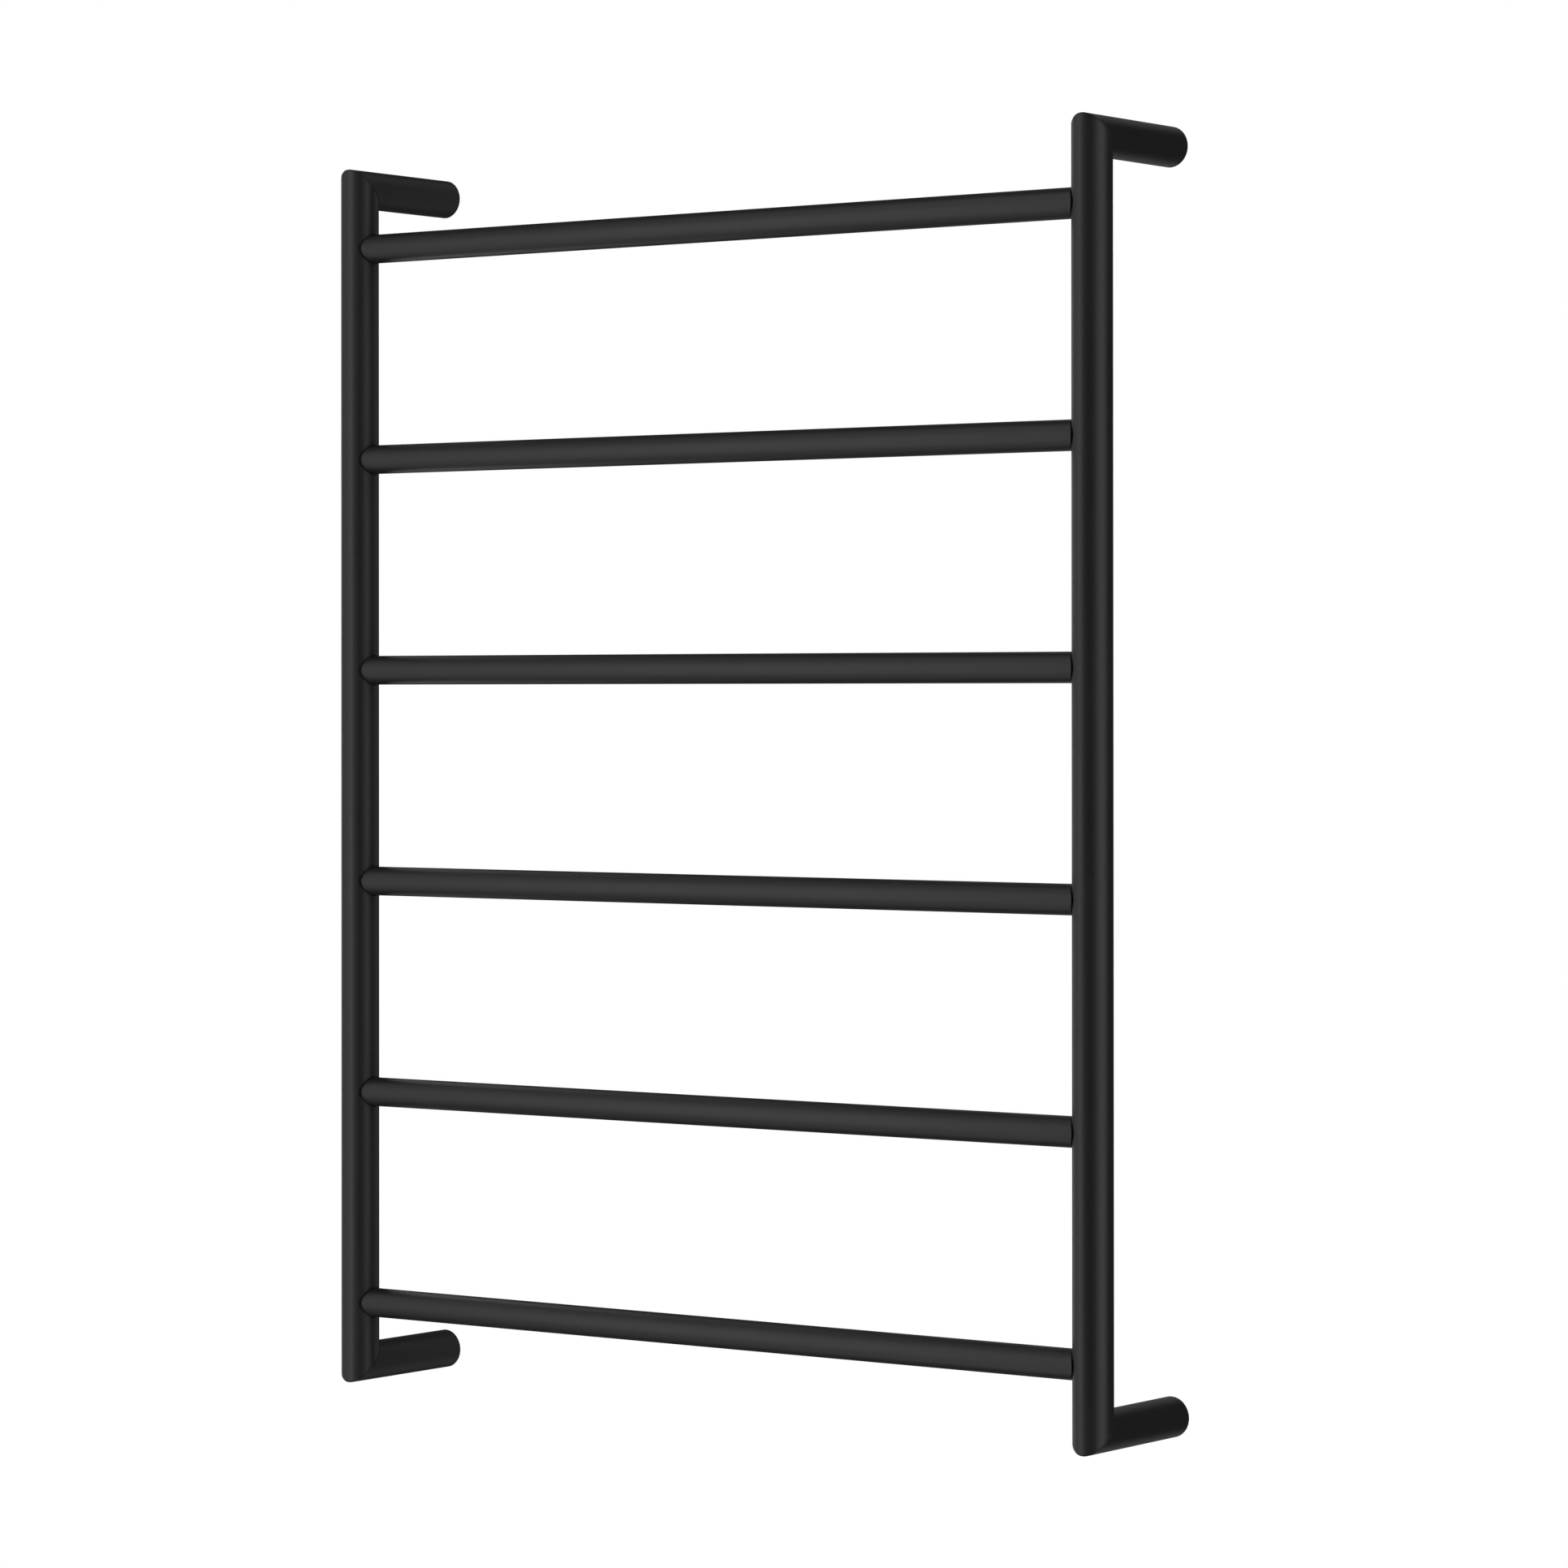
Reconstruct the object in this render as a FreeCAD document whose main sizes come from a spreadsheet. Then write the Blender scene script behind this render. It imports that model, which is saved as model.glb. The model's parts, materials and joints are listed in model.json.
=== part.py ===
import FreeCAD, Part
import math
import os

import Sketcher

# Wall-mounted electric towel warmer: two round uprights, mitred at both ends to four arms that reach back
# to the wall, and six round crossbars with coped ends. A ferrule in each end of a crossbar has a collar that
# fills a hole in the upright, with a narrow groove left open round the crossbar. A heating cable runs up
# through all of them. Each arm slides over a round boss that is screwed to the wall, and a set screw under
# the arm holds it there.
#
# Frame, in millimetres: the origin is on the wall, in the middle of the four wall screws. +X is to the right
# of someone who faces the rack, +Y goes into the wall, and +Z is up.

SIZES = (
    ("overall_width", 600, "outside of one upright to outside of the other"),
    ("overall_height", 800, "lowest to highest point"),
    ("overall_depth", 101.5, "wall to the front of the uprights"),
    ("tube_diameter", 25, "uprights and arms, outside"),
    ("tube_wall", 1.5, "uprights and arms"),
    ("bar_diameter", 19, "crossbars, outside"),
    ("bar_wall", 1.2, "crossbars"),
    ("bar_pitch", 139, "one crossbar to the next"),
    ("edge_round", 0.4, "round on mitred and cut ends"),
    ("cope_round", 0.5, "round on coped ends"),
    ("rim_gap", 0.55, "open groove in the upright round a crossbar's end"),
    ("rim_depth", 0.8, "groove's floor below the upright's surface"),
    ("rim_round", 0.2, "round on the uprights' holes"),
    ("weld_width", 0.2, "weld in the mitre, between the two cut ends"),
    ("weld_depth", 0.45, "weld's surface below the tubes' surface"),
    ("arm_to_wall", 0.4, "arm's end to the wall"),
    ("ferrule_diameter", 16.4, "sleeve that joins a crossbar to an upright"),
    ("ferrule_bore", 13, "cable way through the sleeve"),
    ("ferrule_length", 34, "sleeve"),
    ("ferrule_reach", 6, "sleeve's inner end to the upright's axis"),
    ("boss_diameter", 21.8, "wall boss"),
    ("boss_length", 14, "wall boss"),
    ("boss_flat", 4.3, "axis to the flat that leaves room for the flex"),
    ("screw_hole", 4.5, "wall screw's hole"),
    ("head_bore", 7.8, "counterbore for the wall screw's head"),
    ("boss_floor", 5, "boss left under the screw's head"),
    ("groove_depth", 3.4, "right-angled groove for the set screw's point"),
    ("set_screw_place", 8, "set screw's axis to the wall"),
    ("set_screw_diameter", 4.9, "set screw, over its thread"),
    ("set_screw_hole", 5, "tapped hole in the arm"),
    ("set_screw_sunk", 0.2, "set screw's end under the arm's surface"),
    ("set_screw_socket", 2.5, "hexagon across flats"),
    ("socket_depth", 2, "hexagon socket"),
    ("point_clearance", 0.1, "set screw's point to the groove"),
    ("seal_bore", 5.2, "hole for the supply flex"),
    ("seal_height", 7.6, "flex's axis above the arm's axis"),
    ("seal_front", 12, "seal's front face to the wall"),
    ("seal_back", 1, "seal's back face to the wall"),
    ("slip", 0.05, "clearance between parts pushed together"),
    ("cable_diameter", 4, "heating cable and cold lead"),
    ("cable_offset", 2.5, "heating cable outside the upright's axis"),
    ("cable_bend", 16, "heating cable's bend radius"),
    ("lead_bend", 14, "cold lead's bend radius into the crossbar"),
    ("lead_start", 58, "cold lead's end in the arm, to the wall"),
    ("joint_place", 60, "cold joint's end, from the right upright's axis"),
    ("joint_diameter", 9, "cold joint"),
    ("joint_length", 40, "cold joint"),
    ("end_seal_diameter", 7, "cap on the heating cable's far end"),
    ("end_seal_length", 24, "cap on the heating cable's far end"),
    ("cutout_diameter", 9, "thermal cut-out"),
    ("cutout_length", 32, "thermal cut-out"),
    ("moulded_round", 1.5, "round on moulded ends"),
    ("block_width", 18, "terminal block"),
    ("block_height", 9, "terminal block"),
    ("block_front", 46, "terminal block's front face to the wall"),
    ("block_back", 26, "terminal block's back face to the wall"),
    ("block_drop", 1, "terminal block's axis below the arm's axis"),
    ("pole_pitch", 6, "one terminal to the next"),
    ("pole_hole", 4.7, "bore in the terminal block"),
    ("pole_diameter", 4.5, "brass terminal tube"),
    ("pole_bore", 3.2, "brass terminal tube"),
    ("pole_inset", 1, "brass tube's end inside the block"),
    ("terminal_spacing", 9, "the two screws of one terminal"),
    ("terminal_well", 3.2, "screw well in the block"),
    ("terminal_head", 2.9, "terminal screw's head"),
    ("terminal_shank", 1.8, "terminal screw's shank"),
    ("terminal_head_top", 4, "screw head's top above the block's axis"),
    ("terminal_head_base", 2.4, "screw head's base above the block's axis"),
    ("terminal_tip", 0.9, "screw's tip above the block's axis"),
    ("core_diameter", 1.6, "insulated cores and earth wire"),
    ("core_spacing", 2, "the two cores where they leave the cold lead"),
    ("clip_thickness", 0.8, "sprung earth clip"),
    ("clip_width", 6, "sprung earth clip"),
    ("clip_front", 62, "earth clip's front edge to the wall"),
    ("clip_opening", 70, "open angle of the earth clip, in degrees"),
)
BAR_COUNT = 6

# Places and radii that several parts share, worked out by the document from the sheet.
TUBE_RADIUS = "Sizes.tube_diameter / 2"
TUBE_BORE = "Sizes.tube_diameter / 2 - Sizes.tube_wall"
BAR_RADIUS = "Sizes.bar_diameter / 2"
BAR_HOLE = f"{BAR_RADIUS} + Sizes.rim_gap"
AXIS_X = "(Sizes.overall_width - Sizes.tube_diameter) / 2"
AXIS_Y = "Sizes.tube_diameter / 2 - Sizes.overall_depth"
AXIS_Z = "(Sizes.overall_height - Sizes.tube_diameter) / 2"
BAR_SPAN = f"Sizes.bar_pitch * {BAR_COUNT - 1}"
BLOCK_Z = f"-{AXIS_Z} - Sizes.block_drop"
SETBACK = "Sizes.weld_width / sqrt(2)"

LEFT, RIGHT = -1, 1
UPPER, LOWER = 1, -1
SIDES = ((LEFT, "left"), (RIGHT, "right"))
LEVELS = ((UPPER, "upper"), (LOWER, "lower"))

doc = FreeCAD.newDocument("TowelWarmer")
parts = []


def vector(x=0, y=0, z=0):
    return FreeCAD.Vector(x, y, z)


def make_sheet():
    sheet = doc.addObject("Spreadsheet::Sheet", "Sizes")
    for row, (alias, value, note) in enumerate(SIZES, 1):
        sheet.set(f"A{row}", note)
        sheet.set(f"B{row}", str(value))
        sheet.setAlias(f"B{row}", alias)
    doc.recompute()
    return sheet


def value(expression):
    """The number that an expression gives with the sheet's sizes."""
    return float(sheet.evalExpression(expression))


def keep(thing, name):
    """Names a finished sub-part and lists it for export."""
    thing.Label = name
    parts.append(thing)
    return thing


def place(thing, x="0", y="0", z="0"):
    for axis, expression in zip("xyz", (x, y, z)):
        thing.setExpression(f"Placement.Base.{axis}", expression)


# Sketches, and the features made from them.


def new_body(name):
    return doc.addObject("PartDesign::Body", name)


def origin_feature(body, role):
    return next(f for f in body.Origin.OriginFeatures if f.Role == role)


def new_sketch(body, plane, along="0"):
    """A sketch on one of the body's origin planes, moved along that plane's normal."""
    sketch = body.newObject("Sketcher::SketchObject", f"{body.Name}_sketch")
    sketch.AttachmentSupport = [(origin_feature(body, plane), "")]
    sketch.MapMode = "FlatFace"
    sketch.setExpression("AttachmentOffset.Base.z", along)
    return sketch


def bind(sketch, kind, items, expression):
    index = sketch.addConstraint(Sketcher.Constraint(kind, *items, value(expression)))
    sketch.setExpression(f"Constraints[{index}]", expression)


def add_circle(sketch, radius, across="0", up="0"):
    centre = vector(value(across), value(up))
    index = sketch.addGeometry(Part.Circle(centre, vector(z=1), value(radius)), False)
    bind(sketch, "Radius", (index,), radius)
    if across == up == "0":
        sketch.addConstraint(Sketcher.Constraint("Coincident", index, 3, -1, 1))
    else:
        bind(sketch, "DistanceX", (-1, 1, index, 3), across)
        bind(sketch, "DistanceY", (-1, 1, index, 3), up)


def add_polygon(sketch, corners):
    """A closed outline whose corners are pairs of expressions."""
    points = [vector(value(across), value(up)) for across, up in corners]
    first = sketch.GeometryCount
    count = len(points)
    for i in range(count):
        sketch.addGeometry(Part.LineSegment(points[i], points[(i + 1) % count]), False)
    for i, (across, up) in enumerate(corners):
        following = first + (i + 1) % count
        sketch.addConstraint(Sketcher.Constraint("Coincident", first + i, 2, following, 1))
        bind(sketch, "DistanceX", (-1, 1, first + i, 1), across)
        bind(sketch, "DistanceY", (-1, 1, first + i, 1), up)


def feature(body, kind, sketch, length, side="One side", reverse=False):
    """A Pad or a Pocket of the sketch."""
    made = body.newObject(f"PartDesign::{kind}", f"{body.Name}_{kind.lower()}")
    made.Profile = sketch
    made.SideType = side
    made.Reversed = reverse
    made.setExpression("Length", length)
    doc.recompute()
    return made


def turned(body, kind, sketch, axis):
    """A Revolution or a Groove of the sketch, a full turn about one of the body's axes."""
    made = body.newObject(f"PartDesign::{kind}", f"{body.Name}_{kind.lower()}")
    made.Profile = sketch
    made.ReferenceAxis = (origin_feature(body, axis), [""])
    made.Angle = 360
    doc.recompute()
    return made


def mirror(body, original, plane):
    made = body.newObject("PartDesign::Mirrored", f"{body.Name}_mirrored")
    made.Originals = [original]
    made.MirrorPlane = (origin_feature(body, plane), [""])
    body.Tip = made
    doc.recompute()
    return made


def pattern(body, original, axis, length, count):
    made = body.newObject("PartDesign::LinearPattern", f"{body.Name}_pattern")
    made.Originals = [original]
    made.Direction = (origin_feature(body, axis), [""])
    made.setExpression("Length", length)
    made.Occurrences = count
    body.Tip = made
    doc.recompute()
    return made


def round_edges(body, base, radius, wanted):
    """Rounds the edges of the base whose every sampled point passes the test."""
    names = []
    for number, edge in enumerate(base.Shape.Edges, 1):
        if all(wanted(p) for p in edge.discretize(9)):
            names.append(f"Edge{number}")
    if not names:
        raise RuntimeError(f"{body.Name} has no edge to round")
    made = body.newObject("PartDesign::Fillet", f"{body.Name}_fillet")
    made.Base = (base, names)
    made.setExpression("Radius", radius)
    doc.recompute()
    return made


def near(a, b):
    return abs(a - b) < 0.002


# Uprights, arms and crossbars.


def add_tube_profile(body, plane, outside, inside, along="0"):
    sketch = new_sketch(body, plane, along)
    add_circle(sketch, outside)
    add_circle(sketch, inside)
    return sketch


def make_upright(side, side_name):
    """A tube cut at 45 degrees at both ends, with a hole behind each crossbar's end."""
    body = new_body(f"upright_{side_name}")
    profile = add_tube_profile(body, "XY_Plane", TUBE_RADIUS, TUBE_BORE)
    feature(body, "Pad", profile, "Sizes.overall_height", side="Symmetric")

    mitre = new_sketch(body, "YZ_Plane")
    low = f"{AXIS_Z} - Sizes.tube_diameter - {SETBACK}"
    high = f"{AXIS_Z} + Sizes.tube_diameter - {SETBACK}"
    add_polygon(
        mitre,
        [
            ("-Sizes.tube_diameter", high),
            ("Sizes.tube_diameter", low),
            ("Sizes.tube_diameter", high),
        ],
    )
    cut = feature(body, "Pocket", mitre, "2 * Sizes.tube_diameter", side="Symmetric")
    mirror(body, cut, "XY_Plane")

    hole = new_sketch(body, "YZ_Plane")
    add_circle(hole, BAR_HOLE, "0", f"-{BAR_SPAN} / 2")
    drilled = feature(body, "Pocket", hole, "Sizes.tube_diameter", reverse=side == LEFT)
    holes = pattern(body, drilled, "Z_Axis", BAR_SPAN, BAR_COUNT)

    radius, top = value(TUBE_RADIUS), value(f"{AXIS_Z} - {SETBACK}")
    ends = round_edges(
        body,
        holes,
        "Sizes.edge_round",
        lambda p: near(math.hypot(p.x, p.y), radius) and near(abs(p.z) + p.y, top),
    )
    hole_radius, pitch, lowest = value(BAR_HOLE), value("Sizes.bar_pitch"), value(f"-{BAR_SPAN} / 2")

    def on_hole(p):
        above = (p.z - lowest + pitch / 2) % pitch - pitch / 2
        return near(math.hypot(p.x, p.y), radius) and near(math.hypot(p.y, above), hole_radius)

    round_edges(body, ends, "Sizes.rim_round", on_hole)
    place(body, f"{side} * {AXIS_X}", AXIS_Y)
    keep(body, body.Name)


def make_arm(level, level_name, side, side_name):
    """A tube from the mitre back to the wall, with a tapped hole underneath for its set screw."""
    body = new_body(f"arm_{level_name}_{side_name}")
    profile = add_tube_profile(body, "XZ_Plane", TUBE_RADIUS, TUBE_BORE, TUBE_RADIUS)
    length = "Sizes.overall_depth - Sizes.arm_to_wall"
    feature(body, "Pad", profile, length, reverse=True)

    mitre = new_sketch(body, "YZ_Plane")
    front = f"{SETBACK} - Sizes.tube_diameter"
    add_polygon(
        mitre,
        [
            (front, f"{level} * Sizes.tube_diameter"),
            (f"{SETBACK} + Sizes.tube_diameter", f"{-level} * Sizes.tube_diameter"),
            (front, f"{-level} * Sizes.tube_diameter"),
        ],
    )
    feature(body, "Pocket", mitre, "2 * Sizes.tube_diameter", side="Symmetric")

    hole = new_sketch(body, "XY_Plane")
    add_circle(hole, "Sizes.set_screw_hole / 2", "0", f"-({AXIS_Y}) - Sizes.set_screw_place")
    drilled = feature(body, "Pocket", hole, "Sizes.tube_diameter")

    radius, setback = value(TUBE_RADIUS), value(SETBACK)
    back = value(f"-({AXIS_Y}) - Sizes.arm_to_wall")
    round_edges(
        body,
        drilled,
        "Sizes.edge_round",
        lambda p: near(math.hypot(p.x, p.z), radius)
        and (near(p.y, setback - level * p.z) or near(p.y, back)),
    )
    place(body, f"{side} * {AXIS_X}", AXIS_Y, f"{level} * {AXIS_Z}")
    keep(body, body.Name)


def make_mitre_weld(level, level_name, side, side_name):
    """The ring of weld that joins an upright to its arm, a little below the surface of both."""
    body = new_body(f"mitre_weld_{level_name}_{side_name}")
    profile = add_tube_profile(body, "XY_Plane", f"{TUBE_RADIUS} - Sizes.weld_depth", TUBE_BORE)
    feature(body, "Pad", profile, "2 * Sizes.tube_diameter", side="Symmetric")
    far = "2 * Sizes.tube_diameter"
    for away in (-1, 1):
        waste = new_sketch(body, "YZ_Plane")
        face = f"{away} * {SETBACK}"
        add_polygon(
            waste,
            [
                (f"{face} - {far}", f"{level} * {far}"),
                (f"{face} + {far}", f"{-level} * {far}"),
                (f"{face} + {2 * away} * {far}", f"{away * level} * {far}"),
            ],
        )
        feature(body, "Pocket", waste, far, side="Symmetric")
    place(body, f"{side} * {AXIS_X}", AXIS_Y, f"{level} * {AXIS_Z}")
    keep(body, body.Name)


def bar_height(number):
    return f"Sizes.bar_pitch * {(BAR_COUNT + 1) / 2 - number}"


def make_crossbar(number):
    """A tube whose two ends are coped to the uprights' surface."""
    body = new_body(f"crossbar_{number}")
    profile = add_tube_profile(body, "YZ_Plane", BAR_RADIUS, f"{BAR_RADIUS} - Sizes.bar_wall")
    feature(body, "Pad", profile, f"2 * {AXIS_X}", side="Symmetric")

    cope = new_sketch(body, "XY_Plane")
    add_circle(cope, TUBE_RADIUS, AXIS_X, "0")
    cut = feature(body, "Pocket", cope, "2 * Sizes.bar_diameter", side="Symmetric")
    both = mirror(body, cut, "YZ_Plane")

    outside, across, seat = value(BAR_RADIUS), value(AXIS_X), value(TUBE_RADIUS)
    round_edges(
        body,
        both,
        "Sizes.cope_round",
        lambda p: near(math.hypot(p.y, p.z), outside) and near(math.hypot(abs(p.x) - across, p.y), seat),
    )
    place(body, "0", AXIS_Y, bar_height(number))
    keep(body, body.Name)


def make_ferrule(side, side_name, number):
    """A sleeve for the crossbar, with a curved collar that fills the upright's hole nearly to its surface."""
    body = new_body(f"ferrule_{side_name}_{number}")
    inward = side == RIGHT
    disc = new_sketch(body, "YZ_Plane")
    add_circle(disc, f"{BAR_HOLE} - Sizes.slip")
    feature(body, "Pad", disc, "Sizes.tube_diameter", reverse=inward)

    outside = new_sketch(body, "XY_Plane")
    add_circle(outside, "2 * Sizes.tube_diameter")
    add_circle(outside, f"{TUBE_RADIUS} - Sizes.rim_depth")
    feature(body, "Pocket", outside, "Sizes.tube_diameter", side="Symmetric")
    inside = new_sketch(body, "XY_Plane")
    add_circle(inside, TUBE_BORE)
    feature(body, "Pocket", inside, "Sizes.tube_diameter", side="Symmetric")

    sleeve = new_sketch(body, "YZ_Plane", f"{-side} * Sizes.ferrule_reach")
    add_circle(sleeve, "Sizes.ferrule_diameter / 2")
    feature(body, "Pad", sleeve, "Sizes.ferrule_length", reverse=inward)
    bore = new_sketch(body, "YZ_Plane")
    add_circle(bore, "Sizes.ferrule_bore / 2")
    feature(body, "Pocket", bore, "4 * Sizes.ferrule_length", side="Symmetric")
    place(body, f"{side} * {AXIS_X}", AXIS_Y, bar_height(number))
    keep(body, body.Name)


# Wall fixings.


def make_wall_boss(level, level_name, side, side_name):
    """A turned plug with a flat on top, counterbored for a wall screw and grooved for the set screw."""
    body = new_body(f"wall_boss_{level_name}_{side_name}")
    radius = "Sizes.boss_diameter / 2"
    outline = new_sketch(body, "XZ_Plane")
    add_circle(outline, radius)
    feature(body, "Pad", outline, "Sizes.boss_length")

    flat = new_sketch(body, "XZ_Plane")
    add_polygon(
        flat,
        [
            ("-Sizes.boss_diameter", "Sizes.boss_flat"),
            ("Sizes.boss_diameter", "Sizes.boss_flat"),
            ("Sizes.boss_diameter", "Sizes.boss_diameter"),
            ("-Sizes.boss_diameter", "Sizes.boss_diameter"),
        ],
    )
    feature(body, "Pocket", flat, "Sizes.boss_length", reverse=True)

    hole = new_sketch(body, "XZ_Plane")
    add_circle(hole, "Sizes.screw_hole / 2")
    feature(body, "Pocket", hole, "Sizes.boss_length", reverse=True)
    head = new_sketch(body, "XZ_Plane", "Sizes.boss_floor")
    add_circle(head, "Sizes.head_bore / 2")
    feature(body, "Pocket", head, "Sizes.boss_length", reverse=True)

    groove = new_sketch(body, "YZ_Plane")
    add_polygon(
        groove,
        [
            ("-Sizes.set_screw_place", f"Sizes.groove_depth - {radius}"),
            ("-Sizes.set_screw_place - 2 * Sizes.groove_depth", f"-{radius} - Sizes.groove_depth"),
            ("-Sizes.set_screw_place + 2 * Sizes.groove_depth", f"-{radius} - Sizes.groove_depth"),
        ],
    )
    turned(body, "Groove", groove, "Y_Axis")
    place(body, f"{side} * {AXIS_X}", "0", f"{level} * {AXIS_Z}")
    keep(body, body.Name)


def make_set_screw(level, level_name, side, side_name):
    """A grub screw with a cone point, standing point up under its arm."""
    body = new_body(f"set_screw_{level_name}_{side_name}")
    radius = "Sizes.set_screw_diameter / 2"
    tip = "Sizes.groove_depth - Sizes.boss_diameter / 2 - Sizes.point_clearance"
    end = f"Sizes.set_screw_sunk - {TUBE_RADIUS}"
    outline = new_sketch(body, "XZ_Plane")
    add_polygon(outline, [("0", end), (radius, end), (radius, f"{tip} - {radius}"), ("0", tip)])
    turned(body, "Revolution", outline, "Z_Axis")

    socket = new_sketch(body, "XY_Plane", end)
    across = "Sizes.set_screw_socket / 2"
    corner = "Sizes.set_screw_socket / sqrt(3)"
    add_polygon(
        socket,
        [
            (corner, "0"),
            (f"{corner} / 2", across),
            (f"-{corner} / 2", across),
            (f"-{corner}", "0"),
            (f"-{corner} / 2", f"-{across}"),
            (f"{corner} / 2", f"-{across}"),
        ],
    )
    feature(body, "Pocket", socket, "Sizes.socket_depth", reverse=True)
    place(body, f"{side} * {AXIS_X}", "-Sizes.set_screw_place", f"{level} * {AXIS_Z}")
    return body


def make_set_screws():
    group = doc.addObject("Part::Compound", "set_screws")
    group.Links = [
        make_set_screw(level, level_name, side, side_name)
        for level, level_name in LEVELS
        for side, side_name in SIDES
    ]
    keep(group, "set_screws")


def make_cable_seal():
    """A rubber plug that fills the gap over the boss's flat, with a hole for the supply flex."""
    body = new_body("cable_seal")
    radius = f"{TUBE_BORE} - Sizes.slip"
    outline = new_sketch(body, "XZ_Plane", "Sizes.seal_back")
    add_circle(outline, radius)
    feature(body, "Pad", outline, "Sizes.seal_front - Sizes.seal_back")

    rest = new_sketch(body, "XZ_Plane")
    level = "Sizes.boss_flat + Sizes.slip"
    add_polygon(
        rest,
        [
            ("-Sizes.tube_diameter", "-Sizes.tube_diameter"),
            ("Sizes.tube_diameter", "-Sizes.tube_diameter"),
            ("Sizes.tube_diameter", level),
            ("-Sizes.tube_diameter", level),
        ],
    )
    feature(body, "Pocket", rest, "Sizes.seal_front", reverse=True)
    hole = new_sketch(body, "XZ_Plane")
    add_circle(hole, "Sizes.seal_bore / 2", "0", "Sizes.seal_height")
    feature(body, "Pocket", hole, "Sizes.seal_front", reverse=True)
    place(body, AXIS_X, "0", f"-{AXIS_Z}")
    keep(body, "cable_seal")


# Heating cable and wiring.


def rounded_path(points, radii):
    """Straight runs between the points, joined by tangent arcs of the given radii."""
    edges = []
    start = points[0]
    for before, corner, after, radius in zip(points, points[1:], points[2:], radii):
        arriving = (corner - before).normalize()
        leaving = (after - corner).normalize()
        turn = arriving.getAngle(leaving)
        setback = radius * math.tan(turn / 2)
        arc_start = corner - arriving * setback
        arc_end = corner + leaving * setback
        middle = (leaving - arriving).normalize() * (radius / math.cos(turn / 2) - radius) + corner
        edges.append(Part.LineSegment(start, arc_start).toShape())
        edges.append(Part.Arc(arc_start, middle, arc_end).toShape())
        start = arc_end
    edges.append(Part.LineSegment(start, points[-1]).toShape())
    return Part.Wire(edges)


def make_wire(name, points, radii, diameter):
    """A round cable swept along a rounded path. Its volume has to be its section times its length."""
    path = doc.addObject("Part::Feature", f"{name}_path")
    path.Shape = rounded_path(points, radii)
    section = doc.addObject("Part::Circle", f"{name}_section")
    section.setExpression("Radius", f"{diameter} / 2")
    facing = FreeCAD.Rotation(vector(z=1), points[1] - points[0])
    section.Placement = FreeCAD.Placement(points[0], facing)
    cable = doc.addObject("Part::Sweep", name)
    cable.Sections = [section]
    cable.Spine = (path, [f"Edge{i + 1}" for i in range(len(path.Shape.Edges))])
    cable.Solid = True
    cable.Frenet = False
    doc.recompute()
    expected = math.pi * value(f"{diameter} / 2") ** 2 * path.Shape.Length
    if abs(cable.Shape.Volume / expected - 1) > 0.005:
        raise RuntimeError(f"{name} holds {cable.Shape.Volume:.0f} mm3, not {expected:.0f}")
    print(f"{name}: {path.Shape.Length:.0f} mm long, tightest bend {min(radii):.1f} mm")
    return keep(cable, name)


def bar_z(number):
    return value(bar_height(number))


def make_cold_lead():
    """From the terminal block along the lower right arm, up the upright and into the lowest crossbar."""
    x, y, z = value(AXIS_X), value(AXIS_Y), -value(AXIS_Z)
    bar = bar_z(BAR_COUNT)
    points = [
        vector(x, -value("Sizes.lead_start"), z),
        vector(x, y, z),
        vector(x, y, bar),
        vector(x - value("Sizes.joint_place"), y, bar),
    ]
    radii = [value("Sizes.cable_bend"), value("Sizes.lead_bend")]
    make_wire("cold_lead", points, radii, "Sizes.cable_diameter")


def make_heating_cable():
    """Through every crossbar in turn, from the lowest to the highest, and up the uprights between them."""
    x, y = value(AXIS_X), value(AXIS_Y)
    turn_x = value(f"{AXIS_X} + Sizes.cable_offset")
    points = [vector(x - value("Sizes.joint_place + Sizes.joint_length"), y, bar_z(BAR_COUNT))]
    side = LEFT
    for number in range(BAR_COUNT, 1, -1):
        points.append(vector(side * turn_x, y, bar_z(number)))
        points.append(vector(side * turn_x, y, bar_z(number - 1)))
        side = -side
    points.append(vector(x - value("Sizes.joint_place"), y, bar_z(1)))
    radii = [value("Sizes.cable_bend")] * (len(points) - 2)
    make_wire("heating_cable", points, radii, "Sizes.cable_diameter")


def make_moulding(name, diameter, length, bore=None):
    """A moulded sleeve along X with rounded ends, starting at its own origin."""
    body = new_body(name)
    outline = new_sketch(body, "YZ_Plane")
    add_circle(outline, f"{diameter} / 2")
    padded = feature(body, "Pad", outline, length)
    radius = value(f"{diameter} / 2")
    ends = (0, value(length))
    rounded = round_edges(
        body,
        padded,
        "Sizes.moulded_round",
        lambda p: near(math.hypot(p.y, p.z), radius) and any(near(p.x, end) for end in ends),
    )
    if bore:
        hole = new_sketch(body, "YZ_Plane")
        add_circle(hole, bore)
        feature(body, "Pocket", hole, length, reverse=True)
    else:
        body.Tip = rounded
    return keep(body, name)


def make_mouldings():
    joint = make_moulding("cold_joint", "Sizes.joint_diameter", "Sizes.joint_length")
    start = f"{AXIS_X} - Sizes.joint_place - Sizes.joint_length"
    place(joint, start, AXIS_Y, bar_height(BAR_COUNT))

    cap = make_moulding("cable_end_seal", "Sizes.end_seal_diameter", "Sizes.end_seal_length")
    place(cap, f"{AXIS_X} - Sizes.joint_place", AXIS_Y, bar_height(1))

    bore = "Sizes.cable_diameter / 2 + Sizes.slip"
    cutout = make_moulding("thermal_cutout", "Sizes.cutout_diameter", "Sizes.cutout_length", bore)
    cutout.Placement.Rotation = FreeCAD.Rotation(vector(y=1), -90)
    height = f"{bar_height(BAR_COUNT - 1)} + Sizes.bar_pitch / 2 - Sizes.cutout_length / 2"
    place(cutout, f"{AXIS_X} + Sizes.cable_offset", AXIS_Y, height)


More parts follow.
